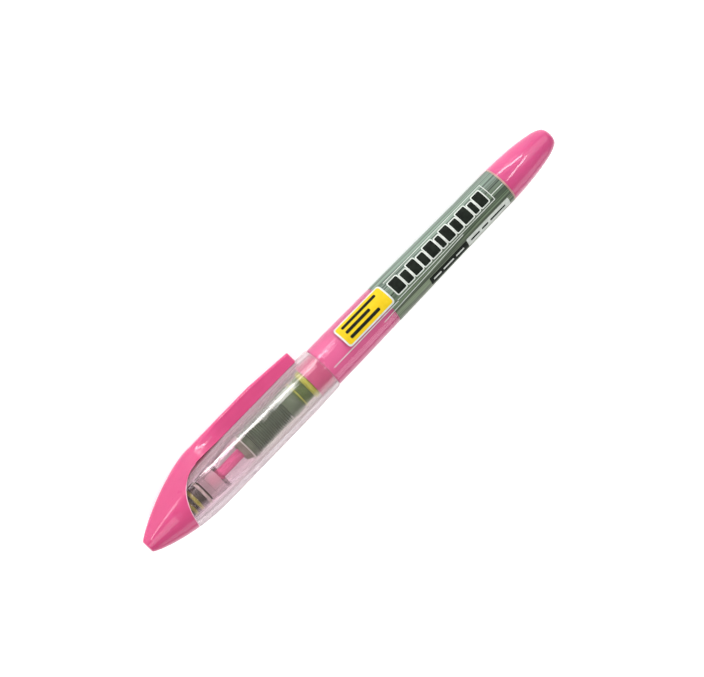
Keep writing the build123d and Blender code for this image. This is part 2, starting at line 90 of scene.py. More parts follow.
def ends(node):
    """Front and rear x of a frame node, and its radius across the pen, in millimetres."""
    low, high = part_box(node)
    return low.x / MM, high.x / MM, (high.y - low.y) / 2 / MM


# ---------------------------------------------------------------- sizes, in millimetres
tank_front, tank_rear, band_r = ends("barrel_tube")
_, film_rear, _ = ends("label_film")
plug_front, pen_rear, rear_r = ends("end_plug")
section_front, section_rear, section_r = ends("front_section")
_, sleeve_mouth, sleeve_r = ends("cap_sleeve")
nose_tip, nose_root, _ = ends("cap_nose")
_, clip_end, _ = ends("cap_clip")
ink_front, ink_rear, _ = ends("ink_charge")
BAND_LENGTH = 6.0
TAPER_END = 52.0
TANK_WALL = 0.95
SECTION_BORE_R = 4.0
SLEEVE_BORE_R = 4.95
MOUTH_R = 5.9
RIM_WIDTH = 0.45
SWELL_LENGTH = 8.0
WINDOW_LENGTH = 10.0
WINDOW_TOP_Z = 5.8
NOSE_TIP_R = 1.4
NOSE_TIP_Z = 1.9
NOSE_RIDGE_R = 1.1
CLIP_HALF_WIDTH = 2.3
CLIP_UNDER_Z = 6.45
CLIP_TOP_Z = 9.7
PRINT_FRONT = 21.3
NECK_END = -36.3
SEGMENTS = 128


# ---------------------------------------------------------------- shader groups
def new_group(name, inputs, outputs):
    """A shader node group with named sockets: (name, kind, default) in, (name, kind) out."""
    tree = bpy.data.node_groups.new(name, "ShaderNodeTree")
    for label, kind, default in inputs:
        socket = tree.interface.new_socket(label, in_out="INPUT", socket_type=kind)
        socket.default_value = default
    for label, kind in outputs:
        tree.interface.new_socket(label, in_out="OUTPUT", socket_type=kind)
    return tree, tree.nodes.new("NodeGroupInput"), tree.nodes.new("NodeGroupOutput")


def add_node(tree, kind, settings=None, **values):
    """A node with its settings, and its inputs set from keywords (spaces as underscores)."""
    node = tree.nodes.new(kind)
    for key, value in (settings or {}).items():
        setattr(node, key, value)
    for key, value in values.items():
        node.inputs[key.replace("_", " ")].default_value = value
    return node


def pen_axes(tree):
    """Object coordinates turned into the pen's own axes, still in metres."""
    place = tree.nodes.new("ShaderNodeTexCoord")
    axes = []
    for direction in (ALONG, TO_FAR_SIDE, TO_CLIP):
        dot = add_node(tree, "ShaderNodeVectorMath", {"operation": "DOT_PRODUCT"})
        dot.inputs[1].default_value = direction
        tree.links.new(place.outputs["Object"], dot.inputs[0])
        axes.append(dot.outputs["Value"])
    joined = tree.nodes.new("ShaderNodeCombineXYZ")
    for axis, socket in zip(axes, joined.inputs):
        tree.links.new(axis, socket)
    return joined.outputs[0], axes


def scaled(tree, vector, factors):
    """The vector multiplied by a constant along each axis."""
    times = add_node(tree, "ShaderNodeVectorMath", {"operation": "MULTIPLY"})
    times.inputs[1].default_value = factors
    tree.links.new(vector, times.inputs[0])
    return times.outputs[0]


def noise_of(tree, vector, scale, detail=3.0, rough=0.5):
    """A noise texture's value at the vector; scale is a number or a socket."""
    texture = add_node(tree, "ShaderNodeTexNoise", Detail=detail, Roughness=rough)
    tree.links.new(vector, texture.inputs["Vector"])
    if isinstance(scale, (int, float)):
        texture.inputs["Scale"].default_value = scale
    else:
        tree.links.new(scale, texture.inputs["Scale"])
    return texture.outputs[0]


def arithmetic(tree, operation, a, b, clamp=False):
    """A Math node on two sockets or numbers."""
    node = add_node(tree, "ShaderNodeMath", {"operation": operation, "use_clamp": clamp})
    for value, socket in zip((a, b), node.inputs):
        if isinstance(value, (int, float)):
            socket.default_value = value
        else:
            tree.links.new(value, socket)
    return node.outputs[0]


def blended(tree, factor, a, b):
    """A colour mix of two sockets or colours."""
    node = add_node(tree, "ShaderNodeMix", {"data_type": "RGBA"})
    tree.links.new(factor, node.inputs[0])
    for value, socket in zip((a, b), (node.inputs[6], node.inputs[7])):
        if isinstance(value, (tuple, list)):
            socket.default_value = value
        else:
            tree.links.new(value, socket)
    return node.outputs[2]


def stretch_range(tree, value, low, high):
    """value taken from low..high to 0..1, held at both ends."""
    node = add_node(tree, "ShaderNodeMapRange", {"interpolation_type": "SMOOTHSTEP"})
    tree.links.new(value, node.inputs["Value"])
    node.inputs["From Min"].default_value = low
    node.inputs["From Max"].default_value = high
    return node.outputs[0]


def make_moulded_skin():
    """Moulded plastic: cloudy colour, flow lines from the gate, fine pitting and uneven gloss."""
    tree, take, give = new_group(
        "moulded_skin",
        [
            ("Base", "NodeSocketColor", (0.8, 0.8, 0.8, 1)),
            ("Shade", "NodeSocketColor", (0.7, 0.7, 0.7, 1)),
            ("Cloud Scale", "NodeSocketFloat", 120.0),
            ("Flow", "NodeSocketFloat", 0.3),
            ("Roughness", "NodeSocketFloat", 0.2),
            ("Gloss Spread", "NodeSocketFloat", 0.1),
            ("Pitting", "NodeSocketFloat", 0.2),
        ],
        [("Color", "NodeSocketColor"), ("Roughness", "NodeSocketFloat"), ("Height", "NodeSocketFloat")],
    )
    here, _ = pen_axes(tree)
    cloud = noise_of(tree, here, take.outputs["Cloud Scale"])
    flow = noise_of(tree, scaled(tree, here, (90, 1300, 1300)), 1.0, 2.0)
    flow_share = arithmetic(tree, "MULTIPLY", flow, take.outputs["Flow"])
    mixed = arithmetic(tree, "ADD", stretch_range(tree, cloud, 0.3, 0.7), flow_share)
    half_flow = arithmetic(tree, "MULTIPLY", take.outputs["Flow"], 0.5)
    shade = arithmetic(tree, "SUBTRACT", mixed, half_flow, True)
    color = blended(tree, shade, take.outputs["Base"], take.outputs["Shade"])
    uneven = arithmetic(tree, "SUBTRACT", noise_of(tree, here, 400.0), 0.5)
    gloss = arithmetic(tree, "MULTIPLY", uneven, take.outputs["Gloss Spread"])
    pits = noise_of(tree, here, 5200.0, 2.0)
    height = arithmetic(tree, "MULTIPLY", pits, take.outputs["Pitting"])
    height = arithmetic(tree, "ADD", height, arithmetic(tree, "MULTIPLY", flow_share, 0.5))
    rough = arithmetic(tree, "ADD", take.outputs["Roughness"], gloss, True)
    tree.links.new(color, give.inputs["Color"])
    tree.links.new(rough, give.inputs["Roughness"])
    tree.links.new(height, give.inputs["Height"])
    return tree


def make_bonded_fibre():
    """Bonded fibres running along the pen: dark gaps between pale strands."""
    tree, take, give = new_group(
        "bonded_fibre",
        [
            ("Strand", "NodeSocketColor", (0.8, 0.3, 0.5, 1)),
            ("Gap", "NodeSocketColor", (0.4, 0.1, 0.2, 1)),
            ("Fineness", "NodeSocketFloat", 1.0),
        ],
        [("Color", "NodeSocketColor"), ("Height", "NodeSocketFloat")],
    )
    here, _ = pen_axes(tree)
    strands = noise_of(tree, scaled(tree, here, (500, 7000, 7000)), take.outputs["Fineness"], 4.0, 0.6)
    share = stretch_range(tree, strands, 0.35, 0.6)
    color = blended(tree, share, take.outputs["Gap"], take.outputs["Strand"])
    tree.links.new(color, give.inputs["Color"])
    tree.links.new(strands, give.inputs["Height"])
    return tree


def make_rubbed_gloss():
    """Handling marks on polished plastic: hairline scratches and faint smears."""
    tree, take, give = new_group(
        "rubbed_gloss",
        [
            ("Roughness", "NodeSocketFloat", 0.04),
            ("Smear", "NodeSocketFloat", 0.1),
            ("Scratch", "NodeSocketFloat", 0.3),
        ],
        [("Roughness", "NodeSocketFloat"), ("Height", "NodeSocketFloat")],
    )
    here, _ = pen_axes(tree)
    smear = stretch_range(tree, noise_of(tree, here, 260.0, 4.0), 0.5, 0.75)
    lines = noise_of(tree, scaled(tree, here, (160, 2600, 2600)), 1.0, 1.0)
    scratch = stretch_range(tree, lines, 0.62, 0.66)
    smeared = arithmetic(tree, "MULTIPLY", smear, take.outputs["Smear"])
    rough = arithmetic(tree, "ADD", take.outputs["Roughness"], smeared)
    height = arithmetic(tree, "MULTIPLY", scratch, take.outputs["Scratch"])
    tree.links.new(rough, give.inputs["Roughness"])
    tree.links.new(height, give.inputs["Height"])
    return tree


def make_print_with_painted_light():
    """Printing with painted light: three tones round the pen, the paler one towards the clip side painted
    light, and fine streaks along it, a brushed grain with painted streaky reflections.
    """
    tree, take, give = new_group(
        "print_with_painted_light",
        [
            ("Light", "NodeSocketColor", (0.3, 0.35, 0.3, 1)),
            ("Middle", "NodeSocketColor", (0.2, 0.25, 0.2, 1)),
            ("Dark", "NodeSocketColor", (0.1, 0.15, 0.1, 1)),
            ("Reach", "NodeSocketFloat", 0.005),
            ("Streak", "NodeSocketFloat", 0.5),
            ("Roughness", "NodeSocketFloat", 0.4),
        ],
        [("Color", "NodeSocketColor"), ("Roughness", "NodeSocketFloat"), ("Height", "NodeSocketFloat")],
    )
    here, axes = pen_axes(tree)
    # painted light: the tone follows height towards the clip side, paler where light falls from that side
    height = arithmetic(tree, "DIVIDE", axes[2], take.outputs["Reach"])
    wander = arithmetic(tree, "MULTIPLY", noise_of(tree, scaled(tree, here, (30, 400, 400)), 1.0), 0.5)
    height = arithmetic(tree, "ADD", height, wander)
    above = stretch_range(tree, height, 0.2, 0.85)
    upper = blended(tree, above, take.outputs["Middle"], take.outputs["Light"])
    tone = blended(tree, stretch_range(tree, height, -0.55, 0.1), take.outputs["Dark"], upper)
    # streaks along the pen: brushed grain with painted streaky reflections
    broad = noise_of(tree, scaled(tree, here, (14, 900, 900)), 1.0, 2.0)
    fine = noise_of(tree, scaled(tree, here, (20, 2600, 2600)), 1.0, 2.0)
    broad_share = arithmetic(tree, "MULTIPLY", stretch_range(tree, broad, 0.35, 0.65), 0.6)
    streak = arithmetic(tree, "ADD", broad_share, stretch_range(tree, fine, 0.35, 0.65))
    swing = arithmetic(tree, "MULTIPLY", arithmetic(tree, "SUBTRACT", streak, 0.8), take.outputs["Streak"])
    gain = arithmetic(tree, "ADD", swing, 1.0)
    stretch = add_node(tree, "ShaderNodeVectorMath", {"operation": "SCALE"})
    tree.links.new(tone, stretch.inputs[0])
    tree.links.new(gain, stretch.inputs["Scale"])
    tree.links.new(stretch.outputs[0], give.inputs["Color"])
    gloss = arithmetic(tree, "MULTIPLY", arithmetic(tree, "SUBTRACT", fine, 0.5), 0.3)
    rough = arithmetic(tree, "ADD", take.outputs["Roughness"], gloss, True)
    tree.links.new(rough, give.inputs["Roughness"])
    tree.links.new(fine, give.inputs["Height"])
    return tree


moulded_skin = make_moulded_skin()
print_with_painted_light = make_print_with_painted_light()
bonded_fibre = make_bonded_fibre()
rubbed_gloss = make_rubbed_gloss()


# ---------------------------------------------------------------- materials
def start_material(name, group, **values):
    """A material with a Principled shader and one of the groups, set from keywords."""
    material = bpy.data.materials.new(name)
    material.use_nodes = True
    tree = material.node_tree
    shader = tree.nodes["Principled BSDF"]
    detail = tree.nodes.new("ShaderNodeGroup")
    detail.node_tree = group
    for key, value in values.items():
        detail.inputs[key.replace("_", " ")].default_value = value
    return material, tree, shader, detail


def raise_bumps(tree, shader, height, depth, strength=1.0):
    """Feeds a height to the shader's normal; depth is in millimetres."""
    bump = add_node(tree, "ShaderNodeBump", Strength=strength, Distance=depth * MM)
    tree.links.new(height, bump.inputs["Height"])
    tree.links.new(bump.outputs["Normal"], shader.inputs["Normal"])


def rgba(r, g, b):
    """An opaque colour."""
    return (r, g, b, 1)


def moulded(name, base, shade, rough=0.2, coat=0.0, scatter=0.0, shine=0.5, **group_values):
    """Opaque moulded plastic."""
    material, tree, shader, detail = start_material(
        name, moulded_skin, Base=rgba(*base), Shade=rgba(*shade), Roughness=rough, **group_values
    )
    tree.links.new(detail.outputs["Color"], shader.inputs["Base Color"])
    tree.links.new(detail.outputs["Roughness"], shader.inputs["Roughness"])
    shader.inputs["Coat Weight"].default_value = coat
    shader.inputs["Specular IOR Level"].default_value = shine
    shader.inputs["Subsurface Weight"].default_value = scatter
    shader.inputs["Subsurface Radius"].default_value = (0.8, 0.3, 0.4)
    shader.inputs["Subsurface Scale"].default_value = 1.6 * MM
    raise_bumps(tree, shader, detail.outputs["Height"], 0.008)
    return material


def clear(name, tint, edge_shade_tint, rough, smear, scratch, edge_haze=0.0, front_tint=None, haze_from=0.12):
    """Clear moulded plastic, milkier where it is seen edge on and darker in tint there, the
    darkening painted edge shade. Shadow rays pass it, so what it covers is lit. front_tint takes
    over towards the nose, and a haze_from below zero makes it milky face on too."""
    material, tree, shader, detail = start_material(
        name, rubbed_gloss, Roughness=rough, Smear=smear, Scratch=scratch
    )
    shader.inputs["Transmission Weight"].default_value = 1.0
    shader.inputs["IOR"].default_value = 1.49
    tree.links.new(detail.outputs["Roughness"], shader.inputs["Roughness"])
    raise_bumps(tree, shader, detail.outputs["Height"], 0.002)
    # painted edge shade: the base colour darkens towards the rim colour where the surface is seen edge on
    edge_on = add_node(tree, "ShaderNodeLayerWeight", Blend=0.5).outputs["Facing"]
    rim = stretch_range(tree, edge_on, 0.1, 0.6)
    _, axes = pen_axes(tree)
    rearward = stretch_range(tree, axes[0], -30 * MM, -22 * MM)
    middle = blended(tree, rearward, rgba(*(front_tint or tint)), rgba(*tint))
    tree.links.new(blended(tree, rim, middle, rgba(*edge_shade_tint)), shader.inputs["Base Color"])
    milky = add_node(tree, "ShaderNodeBsdfDiffuse", Color=rgba(0.54, 0.43, 0.46))
    haze = arithmetic(tree, "MULTIPLY", stretch_range(tree, edge_on, haze_from, 0.55), edge_haze)
    body = tree.nodes.new("ShaderNodeMixShader")
    tree.links.new(haze, body.inputs[0])
    tree.links.new(shader.outputs[0], body.inputs[1])
    tree.links.new(milky.outputs[0], body.inputs[2])
    path = tree.nodes.new("ShaderNodeLightPath")
    through = add_node(tree, "ShaderNodeBsdfTransparent", Color=rgba(*tint))
    mix = tree.nodes.new("ShaderNodeMixShader")
    tree.links.new(path.outputs["Is Shadow Ray"], mix.inputs[0])
    tree.links.new(body.outputs[0], mix.inputs[1])
    tree.links.new(through.outputs[0], mix.inputs[2])
    tree.links.new(mix.outputs[0], tree.nodes["Material Output"].inputs["Surface"])
    return material


def fibre(name, strand, gap, fineness=1.0):
    """Felt or wick of bonded fibre, wet with ink."""
    material, tree, shader, detail = start_material(
        name, bonded_fibre, Strand=rgba(*strand), Gap=rgba(*gap), Fineness=fineness
    )
    tree.links.new(detail.outputs["Color"], shader.inputs["Base Color"])
    shader.inputs["Roughness"].default_value = 0.75
    shader.inputs["Sheen Weight"].default_value = 0.2
    raise_bumps(tree, shader, detail.outputs["Height"], 0.05)
    return material


def wrap_film(name):
    """Grey-green print with painted light: paler towards the clip side where light falls, and streaks along
    the pen, a brushed grain with painted streaky reflections.
    """
    material, tree, shader, detail = start_material(
        name,
        print_with_painted_light,
        Light=rgba(0.112, 0.154, 0.122),
        Middle=rgba(0.083, 0.12, 0.076),
        Dark=rgba(0.105, 0.137, 0.08),
        Reach=rear_r * MM,
        Streak=1.0,
        Roughness=0.42,
    )
    tree.links.new(detail.outputs["Color"], shader.inputs["Base Color"])
    tree.links.new(detail.outputs["Roughness"], shader.inputs["Roughness"])
    shader.inputs["Metallic"].default_value = 0.12
    raise_bumps(tree, shader, detail.outputs["Height"], 0.004)
    return material


def floor_finish():
    """Pale seamless paper, lit softly from beneath."""
    material, tree, shader, detail = start_material(
        "pale_paper",
        moulded_skin,
        Base=rgba(0.94, 0.94, 0.94),
        Shade=rgba(0.92, 0.92, 0.925),
        Cloud_Scale=3.0,
        Flow=0.0,
        Roughness=0.8,
        Gloss_Spread=0.05,
        Pitting=0.1,
    )
    tree.links.new(detail.outputs["Color"], shader.inputs["Base Color"])
    tree.links.new(detail.outputs["Roughness"], shader.inputs["Roughness"])
    shader.inputs["Specular IOR Level"].default_value = 0.1
    shader.inputs["Emission Color"].default_value = rgba(1, 1, 1)
    shader.inputs["Emission Strength"].default_value = 0.3
    raise_bumps(tree, shader, detail.outputs["Height"], 0.01)
    return material


pink = moulded(
    "fluorescent_pink", (0.53, 0.06, 0.18), (0.49, 0.05, 0.16), 0.3, coat=0.45, scatter=0.4, shine=0.2,
    Cloud_Scale=110.0, Flow=0.35, Gloss_Spread=0.12, Pitting=0.25,
)
plug_pink = moulded(
    "plug_pink", (0.53, 0.066, 0.195), (0.5, 0.058, 0.178), 0.3, coat=0.5, scatter=0.3, shine=0.2,
    Cloud_Scale=110.0, Flow=0.3, Gloss_Spread=0.12, Pitting=0.25,
)
ink = moulded(
    "pink_ink", (0.51, 0.085, 0.215), (0.48, 0.075, 0.195), 0.5, shine=0.2,
    Cloud_Scale=160.0, Flow=0.4, Gloss_Spread=0.0, Pitting=0.0,
)
feed_grey = moulded(
    "feed_grey", (0.115, 0.155, 0.105), (0.078, 0.11, 0.07), 0.6, shine=0.2,
    Cloud_Scale=500.0, Flow=0.3, Gloss_Spread=0.1, Pitting=0.1,
)
guide_grey = moulded(
    "guide_grey", (0.25, 0.25, 0.2), (0.16, 0.165, 0.13), 0.5, shine=0.2,
    Cloud_Scale=500.0, Flow=0.3, Gloss_Spread=0.1, Pitting=0.1,
)
collar_green = moulded(
    "collar_green", (0.09, 0.145, 0.035), (0.06, 0.1, 0.025), 0.5, shine=0.2,
    Cloud_Scale=500.0, Flow=0.3, Gloss_Spread=0.1, Pitting=0.2,
)
lime = moulded(
    "lime", (0.4, 0.42, 0.045), (0.3, 0.33, 0.035), 0.3,
    Cloud_Scale=400.0, Flow=0.3, Gloss_Spread=0.1, Pitting=0.3,
)
olive = moulded(
    "dark_olive", (0.045, 0.045, 0.02), (0.03, 0.03, 0.014), 0.35,
    Cloud_Scale=500.0, Flow=0.3, Gloss_Spread=0.1, Pitting=0.4,
)
felt = fibre("inked_felt", (0.58, 0.11, 0.26), (0.38, 0.045, 0.14), 1.0)
wick_fibre = fibre("inked_wick", (0.64, 0.125, 0.3), (0.48, 0.075, 0.2), 0.7)
# the second colour of each clear finish is its painted edge shade
clear_cap = clear(
    "clear_cap", (0.92, 0.892, 0.88), (0.69, 0.61, 0.62), 0.03, 0.04, 0.3, 0.5, (0.905, 0.77, 0.84)
)
clear_tank = clear("clear_tank", (0.97, 0.96, 0.96), (0.9, 0.85, 0.87), 0.12, 0.1, 0.2)
clear_section = clear("clear_section", (0.955, 0.935, 0.925), (0.85, 0.82, 0.81), 0.04, 0.03, 0.2, 0.15)
frosted = clear("frosted_inner_cap", (0.94, 0.92, 0.92), (0.8, 0.78, 0.77), 0.2, 0.1, 0.1, 0.15)
frosted_neck = clear(
    "frosted_neck", (0.93, 0.82, 0.87), (0.8, 0.68, 0.73), 0.6, 0.1, 0.4, 0.9, haze_from=-0.6
)
pale_lip = moulded(
    "pale_lip", (0.42, 0.38, 0.34), (0.3, 0.27, 0.23), 0.3,
    Cloud_Scale=900.0, Flow=0.2, Gloss_Spread=0.1, Pitting=0.3,
)
# pale pink of the painted highlight along the sleeve's scooped edge
rim_highlight_pink = moulded(
    "rim_highlight_pink", (0.75, 0.42, 0.52), (0.68, 0.36, 0.46), 0.3,
    Cloud_Scale=600.0, Flow=0.2, Gloss_Spread=0.1, Pitting=0.2,
)
seam_pink = moulded(
    "seam_pink", (0.42, 0.24, 0.2), (0.36, 0.19, 0.17), 0.3,
    Cloud_Scale=600.0, Flow=0.2, Gloss_Spread=0.1, Pitting=0.2,
)
# label film: print with painted light on its clip side and painted streaky reflections
label_print_painted_light = wrap_film("grey_green_print_painted_light")
print_dark = moulded(
    "dark_print", (0.007, 0.009, 0.007), (0.012, 0.016, 0.012), 0.55, shine=0.05,
    Cloud_Scale=900.0, Flow=0.2, Gloss_Spread=0.1, Pitting=0.2,
)
print_pale = moulded(
    "pale_print", (0.56, 0.59, 0.55), (0.46, 0.49, 0.45), 0.5,
    Cloud_Scale=900.0, Flow=0.2, Gloss_Spread=0.1, Pitting=0.2,
)
print_yellow = moulded(
    "yellow_print", (0.64, 0.455, 0.008), (0.6, 0.41, 0.006), 0.5, shine=0.15,
    Cloud_Scale=700.0, Flow=0.2, Gloss_Spread=0.1, Pitting=0.2,
)


# ---------------------------------------------------------------- mesh tools
SHARP = radians(32)


def finish_piece(name, mesh, material, body, replaces=()):
    """Closes a bmesh into a shaded object in the row frame, on its body."""
    bmesh.ops.recalc_face_normals(mesh, faces=mesh.faces)
    for face in mesh.faces:
        face.smooth = True
    for edge in mesh.edges:
        edge.smooth = edge.calc_face_angle(0) < SHARP
    mesh.transform(TO_ROW)
    data = bpy.data.meshes.new(name)
    mesh.to_mesh(data)
    mesh.free()
    data.materials.append(material)
    piece = bpy.data.objects.new(name, data)
    bpy.context.collection.objects.link(piece)
    if body:
        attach(piece, body)
    if replaces:
        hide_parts(*replaces)
    return piece


def rounded(outline, radius, closed=True):
    """The outline with each clear corner turned into a small arc."""
    out = []
    count = len(outline)
    for i, corner in enumerate(outline):
        if not closed and i in (0, count - 1):
            out.append(corner)
            continue
        here = Vector(corner)
        back = Vector(outline[i - 1]) - here
        ahead = Vector(outline[(i + 1) % count]) - here
        if back.angle(ahead) > radians(160):
            out.append(corner)
            continue
        reach = min(radius, back.length * 0.45, ahead.length * 0.45)
        start, stop = here + back.normalized() * reach, here + ahead.normalized() * reach
        for step in range(5):
            t = step / 4
            point = start * (1 - t) ** 2 + here * 2 * t * (1 - t) + stop * t**2
            out.append(tuple(point))
    return out


def lathe(name, outline, material, body, replaces=(), soft=0.1, closed=True):
    """Turns an (x, radius) outline about the pen's axis; an open one starts and ends on it."""
    outline = rounded(outline, soft, closed)
    mesh = bmesh.new()
    verts = [mesh.verts.new((x, 0, r)) for x, r in outline]
    pairs = list(zip(verts, verts[1:])) + ([(verts[-1], verts[0])] if closed else [])
    edges = [mesh.edges.new(pair) for pair in pairs]
    bmesh.ops.spin(
        mesh, geom=verts + edges, cent=(0, 0, 0), axis=(1, 0, 0), dvec=(0, 0, 0),
        angle=2 * pi, steps=SEGMENTS, use_merge=True,
    )
    bmesh.ops.remove_doubles(mesh, verts=mesh.verts, dist=1e-4)
    return finish_piece(name, mesh, material, body, replaces)


def loft(mesh, rings, close_ends=True):
    """Joins rings of equal length, each a closed loop of (x, y, z), and caps both ends."""
    loops = [[mesh.verts.new(point) for point in ring] for ring in rings]
    for near, far in zip(loops, loops[1:]):
        for i, vert in enumerate(near):
            mesh.faces.new((near[i - 1], vert, far[i], far[i - 1]))
    if close_ends:
        mesh.faces.new(loops[0])
        mesh.faces.new(list(reversed(loops[-1])))


def smoothstep(t):
    """0 to 1 with an easy start and stop, held at both ends."""
    t = max(0.0, min(1.0, t))
    return t * t * (3 - 2 * t)


def spread(low, high, count):
    """count + 1 even steps from low to high."""
    return [low + (high - low) * i / count for i in range(count + 1)]


# ---------------------------------------------------------------- outlines shared by pieces
def nose_under_r(x):
    """Radius of the nose under the axis, and of the sleeve along its window."""
    u = max(0.0, min(1.0, (nose_root - x) / (nose_root - nose_tip)))
    return NOSE_TIP_R + (sleeve_r - NOSE_TIP_R) * (1 - u**2) ** 0.86


def ridge_z(x):
    """Height of the nose's ridge, and of the clip's outer side near its root."""
    u = max(0.0, (nose_root - x) / (nose_root - nose_tip))
    return NOSE_TIP_Z + (CLIP_TOP_Z - NOSE_TIP_Z) * (1 - u**1.45) ** 0.88


def sleeve_outer_r(x):
    """Outside radius of the clear sleeve, slimmer over its last stretch."""
    swell = max(0.0, 1 - (sleeve_mouth - x) / SWELL_LENGTH)
    return nose_under_r(x) - (sleeve_r - MOUTH_R) * swell


def sleeve_inner_r(x):
    """Inside radius of the clear sleeve."""
    return nose_under_r(x) - (sleeve_r - SLEEVE_BORE_R)


def window_z(x):
    """Height of the window's edge, an ellipse seen from the side."""
    share = min(1.0, (nose_root - x) / WINDOW_LENGTH)
    return -WINDOW_TOP_Z + 2 * WINDOW_TOP_Z * sqrt(max(0.0, 1 - share**2))


def window_x(radius_at, turn):
    """Where the window's edge crosses a line at this turn on a surface of radius_at(x)."""
    low, high = nose_root - WINDOW_LENGTH, nose_root
    if radius_at(high) * cos(turn) >= window_z(high):
        return high
    for _ in range(30):
        middle = (low + high) / 2
        if radius_at(middle) * cos(turn) > window_z(middle):
            low = middle
        else:
            high = middle
    return high


def tank_r(x):
    """Outside radius of the barrel and of the film that lies flush with it."""
    if x <= BAND_LENGTH:
        return band_r
    return band_r + (rear_r - band_r) * min(1.0, (x - BAND_LENGTH) / (TAPER_END - BAND_LENGTH))


# ---------------------------------------------------------------- the pen
def tank_shell():
    """Clear ink tank, its bare film included."""
    bore_rear = rear_r - TANK_WALL
    bore_front = band_r - TANK_WALL
    seat = 0.12
    outline = [
        (tank_front, bore_front),
        (tank_front, band_r - 0.22),
        (tank_front + 0.22, band_r),
        (BAND_LENGTH, band_r),
        (PRINT_FRONT, tank_r(PRINT_FRONT)),
        (PRINT_FRONT, tank_r(PRINT_FRONT) - seat),
        (TAPER_END, rear_r - seat),
        (film_rear, rear_r - seat),
        (film_rear, bore_rear),
        (TAPER_END, bore_rear),
        (section_rear + 0.5, bore_front),
    ]
    return lathe("tank_shell", outline, clear_tank, "pen", ["barrel_tube"], 0.08)


def tank_rim():
    """Rear rim of the tank, pale against the plug."""
    inner_r = rear_r - TANK_WALL
    front, rear = film_rear + 0.01, film_rear + RIM_WIDTH
    outline = [(front, inner_r), (front, rear_r), (rear, rear_r), (rear, inner_r)]
    return lathe("tank_rim", outline, seam_pink, "pen", [], 0.05)


def ink_column():
    """Ink wetting the tank's wall, and the section's tail up to the seal."""
    wet = 0.03
    bore_rear = rear_r - TANK_WALL + wet
    bore_front = band_r - TANK_WALL + wet
    outline = [
        (ink_front, 0),
        (ink_front, SECTION_BORE_R + wet),
        (tank_front + 0.06, SECTION_BORE_R + wet),
        (tank_front + 0.06, bore_front),
        (section_rear + 0.5, bore_front),
        (TAPER_END, bore_rear),
        (ink_rear, bore_rear),
        (ink_rear, 0),
    ]
    return lathe("ink_column", outline, ink, "pen", ["ink_charge"], 0.04, closed=False)


def section_shell():
    """Clear front section round the feed, with its snap groove."""
    tail_r, neck_r = 4.68, 3.35
    groove_rear, groove_length, groove_slope, groove_depth = -2.6, 2.0, 0.5, 0.13
    groove_front = groove_rear - groove_length
    grip_front, bore_front = -27.0, -28.52
    seat_r, seat_length = 2.47, 1.62
    wick_r, wick_length, funnel = 1.97, 4.5, 1.0
    outline = [
        (section_rear, SECTION_BORE_R),
        (section_rear, tail_r),
        (0, tail_r),
        (0, section_r),
        (groove_rear, section_r),
        (groove_rear - groove_slope, section_r - groove_depth),
        (groove_front + groove_slope, section_r - groove_depth),
        (groove_front, section_r),
        (grip_front, section_r),
        (section_front, neck_r),
        (section_front, seat_r),
        (section_front + seat_length, seat_r),
        (section_front + seat_length, wick_r),
        (section_front + wick_length, wick_r),
        (section_front + wick_length + funnel, wick_r + funnel),
        (bore_front, SECTION_BORE_R),
    ]
    shell = lathe("section_shell", outline, clear_section, "pen", ["front_section"], 0.12)
    shell.data.materials.append(frosted_neck)
    for face in shell.data.polygons:
        if face.center.x / MM < NECK_END:
            face.material_index = 1
    return shell


def inner_cap_lip():
    """Pale lip round the mouth of the inner cap."""
    _, lip_rear, outer_r = ends("inner_cap")
    wall, width, proud = 0.42, 0.75, 0.02
    outline = [
        (lip_rear - width, outer_r - wall),
        (lip_rear - width, outer_r + proud),
        (lip_rear, outer_r + proud),
        (lip_rear, outer_r - wall),
    ]
    return lathe("inner_cap_lip", outline, pale_lip, "inner_cap", [], 0.08)


def end_plug():
    """Bullet-shaped plug with its spigot."""
    length = pen_rear - tank_rear
    shares = [(0, 1), (0.2, 0.968), (0.45, 0.9), (0.64, 0.812)]
    shares += [(0.8, 0.705), (0.9, 0.585), (0.965, 0.43), (1, 0)]
    spots = [(tank_rear + along * length, width * rear_r) for along, width in shares]
    bullet = bezier_through(spots, (1, -0.06), (0, -1))
    core_r, core_tip, core_end = 3.1, 16, 9
    wet, chamfer = 0.03, 0.03
    spigot_r = rear_r - TANK_WALL + wet
    step = film_rear + RIM_WIDTH + 0.01
    outline = [
        (plug_front + core_tip, 0),
        (tank_rear + core_end, core_r),
        (plug_front, core_r),
        (plug_front, spigot_r),
        (step, spigot_r),
        (step, rear_r - chamfer),
        (step + 2 * chamfer, rear_r),
    ]
    outline += bullet[3:]
    return lathe(
        "end_plug_skin", outline, plug_pink, "pen", ["end_plug"], 0.08, closed=False
    )


def bezier_through(points, first, last, steps=8):
    """A smooth run through the points, with the given directions at its ends."""
    spots = [Vector(p) for p in points]
    slopes = []
    for i, spot in enumerate(spots):
        if i == 0:
            slopes.append(Vector(first).normalized() * (spots[1] - spot).length)
        elif i == len(spots) - 1:
            slopes.append(Vector(last).normalized() * (spot - spots[i - 1]).length)
        else:
            behind, ahead = spot - spots[i - 1], spots[i + 1] - spot
            along = (behind / behind.length + ahead / ahead.length).normalized()
            slopes.append(along * min(behind.length, ahead.length))
    out = []
    for a, b, ta, tb in zip(spots, spots[1:], slopes, slopes[1:]):
        for step in range(steps):
            t = step / steps
            h00, h10 = 2 * t**3 - 3 * t**2 + 1, t**3 - 2 * t**2 + t
            h01, h11 = -2 * t**3 + 3 * t**2, t**3 - t**2
            out.append(tuple(a * h00 + ta * h10 + b * h01 + tb * h11))
    out.append(tuple(spots[-1]))
    return out


